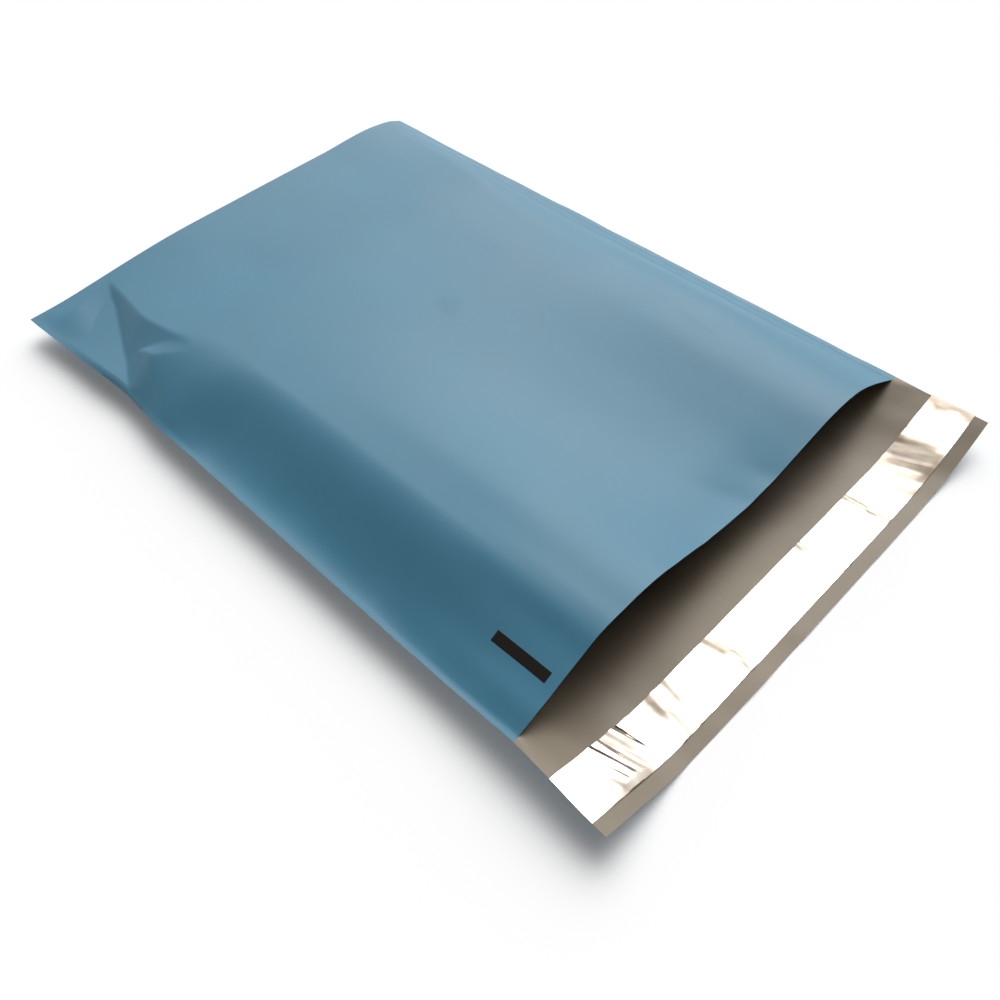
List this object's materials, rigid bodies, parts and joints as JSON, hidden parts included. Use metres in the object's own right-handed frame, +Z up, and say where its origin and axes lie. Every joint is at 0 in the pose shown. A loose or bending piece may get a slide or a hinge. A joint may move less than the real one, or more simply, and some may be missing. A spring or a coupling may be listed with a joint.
{
  "type": "poly mailer bag",
  "caption": "Flat plastic-film mailing bag with sealed sides, an open mouth and a self-seal flap under a release strip.",
  "frame": {"origin": "on the floor, under the middle of the bag's box", "axes": "+X across the bag, +Y from the flap to the closed end, +Z up from the back to the front"},
  "size_m": [0.254, 0.3748, 0.0336],
  "materials": {
    "blue_film": "satin polyethylene film, blue outside and grey inside",
    "clear_adhesive": "clear glossy adhesive",
    "silver_liner": "mirror-like release film"
  },
  "bodies": {
    "root": {"bag_film": "blue_film", "adhesive_strip": "clear_adhesive", "release_liner": "silver_liner"}
  },
  "joints": []
}
